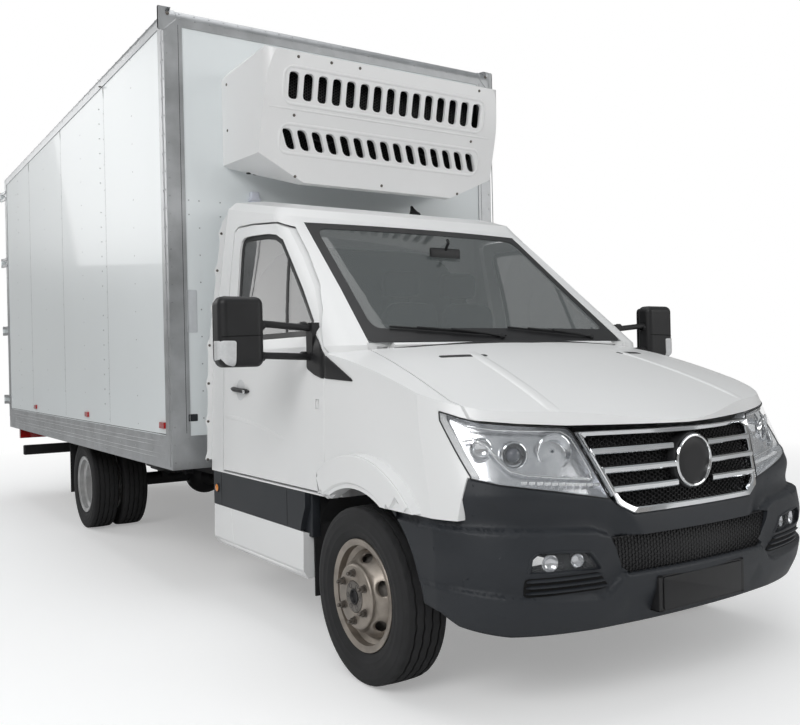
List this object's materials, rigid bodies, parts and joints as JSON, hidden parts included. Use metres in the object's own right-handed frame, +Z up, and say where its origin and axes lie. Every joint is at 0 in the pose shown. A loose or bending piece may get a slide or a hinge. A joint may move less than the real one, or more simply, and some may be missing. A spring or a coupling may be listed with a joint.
{
  "type": "refrigerated box truck",
  "caption": "Light refrigerated truck: bonneted cab, insulated white box body with rear doors and a cooler on its nose, twin rear wheels.",
  "frame": {"origin": "on the ground, under the middle of the truck's whole length and width", "axes": "+X towards the front of the truck, +Y to its left, +Z up"},
  "size_m": [7.7207, 2.776, 3.2649],
  "materials": {
    "aluminium": "anodised",
    "black_plastic": "matt black",
    "cab_white": "gloss white paint",
    "chassis_black": "satin black paint",
    "cooler_white": "moulded, satin white",
    "dark_plastic": "grained dark grey",
    "engine_grey": "cast, dull",
    "floor_ply": "dark phenolic ply",
    "glass": "clear, faint green tint",
    "grille_chrome": "bright plated",
    "interior_grey": "grained",
    "lamp_clear": "clear lens",
    "lamp_red": "red lens",
    "panel_white": "glossy white skin",
    "rubber_flap": "matt black",
    "seat_fabric": "dark woven",
    "tyre": "matt black rubber",
    "wheel_front": "dull silver-brown paint",
    "wheel_rear": "silver paint"
  },
  "bodies": {
    "chassis": {"box_floor": "floor_ply", "box_frame": "aluminium", "box_front_wall": "panel_white", "box_roof": "panel_white", "box_sides": "panel_white", "bumper": "dark_plastic", "cab_shell": "cab_white", "chassis_frame": "chassis_black", "cladding": "dark_plastic", "cooler": "cooler_white", "cooler_fans": "black_plastic", "cowl": "black_plastic", "dashboard": "interior_grey", "drive_shaft": "chassis_black", "engine_block": "engine_grey", "fog_lamps": "lamp_clear", "front_axle": "chassis_black", "grille": "grille_chrome", "headlamps": "lamp_clear", "intake_mesh": "black_plastic", "leaf_springs": "chassis_black", "mud_flaps": "rubber_flap", "rear_axle": "chassis_black", "rear_lamps": "lamp_red", "rear_underrun": "chassis_black", "seats": "seat_fabric", "steering_wheel": "interior_grey", "steps": "cab_white", "windscreen": "glass", "wings": "cab_white", "wipers": "black_plastic"},
    "left_door": {"door_left": "cab_white", "door_glass_left": "glass", "mirror_left": "black_plastic"},
    "right_door": {"door_right": "cab_white", "door_glass_right": "glass", "mirror_right": "black_plastic"},
    "bonnet_lid": {"bonnet": "cab_white"},
    "left_box_door": {"box_door_left": "panel_white"},
    "right_box_door": {"box_door_right": "panel_white"},
    "left_knuckle": {"knuckle_left": "chassis_black"},
    "right_knuckle": {"knuckle_right": "chassis_black"},
    "track_rod": {"tie_rod": "chassis_black"},
    "left_front_wheel": {"front_wheel_left": "wheel_front", "front_tyre_left": "tyre"},
    "right_front_wheel": {"front_wheel_right": "wheel_front", "front_tyre_right": "tyre"},
    "left_rear_wheels": {"rear_wheels_left": "wheel_rear", "rear_tyres_left": "tyre"},
    "right_rear_wheels": {"rear_wheels_right": "wheel_rear", "rear_tyres_right": "tyre"}
  },
  "joints": [
    {"name": "left_door_hinge", "type": "hinge", "parent": "chassis", "child": "left_door", "pos_m": [2.622, 0.956, 1], "axis": [0, 0, -1], "range_deg": [0, 65]},
    {"name": "right_door_hinge", "type": "hinge", "parent": "chassis", "child": "right_door", "pos_m": [2.622, -0.956, 1], "axis": [0, 0, 1], "range_deg": [0, 65]},
    {"name": "bonnet_hinge", "type": "hinge", "parent": "chassis", "child": "bonnet_lid", "pos_m": [2.771, 0, 1.312], "axis": [0, -1, 0], "range_deg": [0, 45]},
    {"name": "left_box_door_hinge", "type": "hinge", "parent": "chassis", "child": "left_box_door", "pos_m": [-3.844, 1.167, 2], "axis": [0, 0, -1], "range_deg": [0, 270]},
    {"name": "right_box_door_hinge", "type": "hinge", "parent": "chassis", "child": "right_box_door", "pos_m": [-3.844, -1.167, 2], "axis": [0, 0, 1], "range_deg": [0, 270]},
    {"name": "left_steer", "type": "hinge", "parent": "chassis", "child": "left_knuckle", "pos_m": [3.003, 0.815, 0.35], "axis": [0, 0, 1], "range_deg": [-33, 33]},
    {"name": "right_steer", "type": "hinge", "parent": "chassis", "child": "right_knuckle", "pos_m": [3.003, -0.815, 0.35], "axis": [0, 0, 1], "range_deg": [-33, 33]},
    {"name": "track_rod_pivot", "type": "hinge", "parent": "left_knuckle", "child": "track_rod", "pos_m": [2.843, 0.767, 0.295], "axis": [0, 0, 1], "range_deg": [-33, 33]},
    {"name": "left_front_spin", "type": "hinge", "parent": "left_knuckle", "child": "left_front_wheel", "pos_m": [3.003, 0.9025, 0.35], "axis": [0, 1, 0], "continuous": true},
    {"name": "right_front_spin", "type": "hinge", "parent": "right_knuckle", "child": "right_front_wheel", "pos_m": [3.003, -0.9025, 0.35], "axis": [0, 1, 0], "continuous": true},
    {"name": "left_rear_spin", "type": "hinge", "parent": "chassis", "child": "left_rear_wheels", "pos_m": [-1.297, 0.805, 0.35], "axis": [0, 1, 0], "continuous": true},
    {"name": "right_rear_spin", "type": "hinge", "parent": "chassis", "child": "right_rear_wheels", "pos_m": [-1.297, -0.805, 0.35], "axis": [0, 1, 0], "continuous": true}
  ],
  "couplings": [
    {"joint": "right_steer", "follows": "left_steer", "ratio": 1},
    {"joint": "track_rod_pivot", "follows": "left_steer", "ratio": -1}
  ]
}
